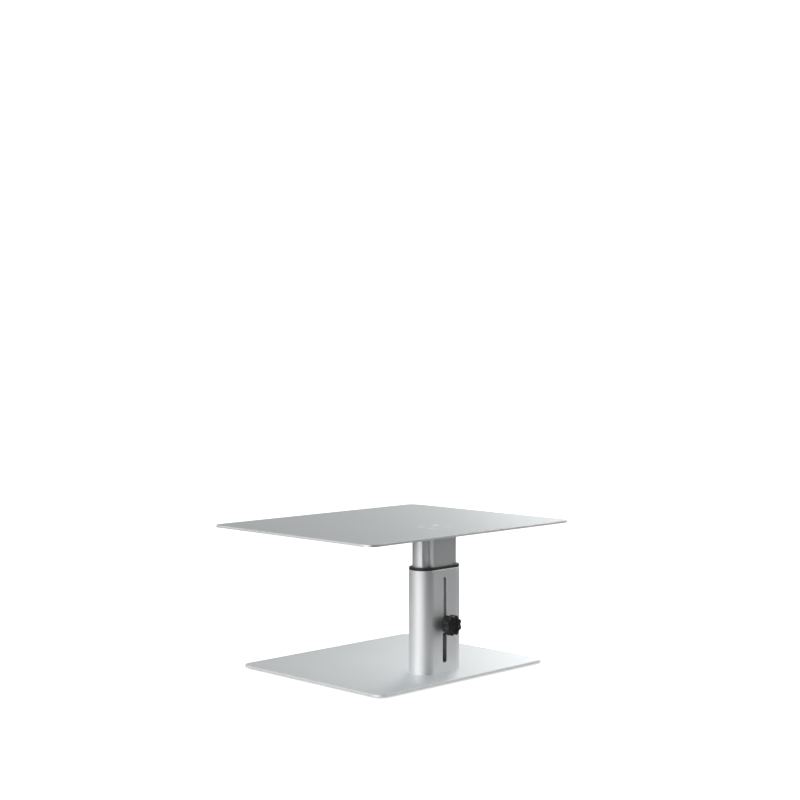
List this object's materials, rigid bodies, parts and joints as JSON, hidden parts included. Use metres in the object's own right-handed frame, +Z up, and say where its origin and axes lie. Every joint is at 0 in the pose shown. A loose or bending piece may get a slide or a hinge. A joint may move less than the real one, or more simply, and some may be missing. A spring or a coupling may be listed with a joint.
{
  "type": "monitor riser stand",
  "caption": "Height-adjustable aluminium monitor riser: a large flat shelf on a telescoping oval column, clamped by a black lobed knob, above a smaller flat base.",
  "frame": {"origin": "on the desk, under the middle of the shelf and of the base", "axes": "+X to the user's right, -Y towards the user, +Y towards the column and its knob, +Z up"},
  "size_m": [0.302, 0.24, 0.1537],
  "materials": {
    "anodised_plate": "bead-blasted silver anodised sheet",
    "anodised_extrusion": "satin silver anodised extrusion",
    "black_plastic": "fine-textured black moulding",
    "knob_plastic": "satin black moulding",
    "guide_plastic": "smooth black acetal",
    "zinc_steel": "zinc-plated steel",
    "foot_rubber": "matte black silicone rubber"
  },
  "bodies": {
    "stand": {"base_plate": "anodised_plate", "base_screws": "zinc_steel", "foot_front_left": "foot_rubber", "foot_front_right": "foot_rubber", "foot_back_left": "foot_rubber", "foot_back_right": "foot_rubber", "sleeve": "anodised_extrusion", "sleeve_collar": "black_plastic"},
    "lift": {"inner_column": "anodised_extrusion", "column_guide": "guide_plastic", "guide_screws": "zinc_steel", "top_plate": "anodised_plate", "top_screws": "zinc_steel", "friction_pad": "guide_plastic", "nut_holder": "guide_plastic", "clamp_nut": "zinc_steel"},
    "clamp_washers": {"nylon_washer": "guide_plastic", "steel_washer": "zinc_steel"},
    "knob": {"knob_body": "knob_plastic", "knob_cap": "knob_plastic", "clamp_bolt": "zinc_steel"}
  },
  "joints": [
    {"name": "height_slide", "type": "slide", "parent": "stand", "child": "lift", "axis": [0, 0, 1], "range_m": [-0.036, 0.045]},
    {"name": "knob_advance", "type": "slide", "parent": "lift", "child": "clamp_washers", "axis": [0, 1, 0], "range_m": [0, 0.0012]},
    {"name": "knob_turn", "type": "hinge", "parent": "clamp_washers", "child": "knob", "pos_m": [0, 0.0748, 0.054], "axis": [0, 1, 0], "range_deg": [0, 540]}
  ],
  "couplings": [
    {"joint": "knob_advance", "follows": "knob_turn", "m_per_rad": 0.000127}
  ]
}
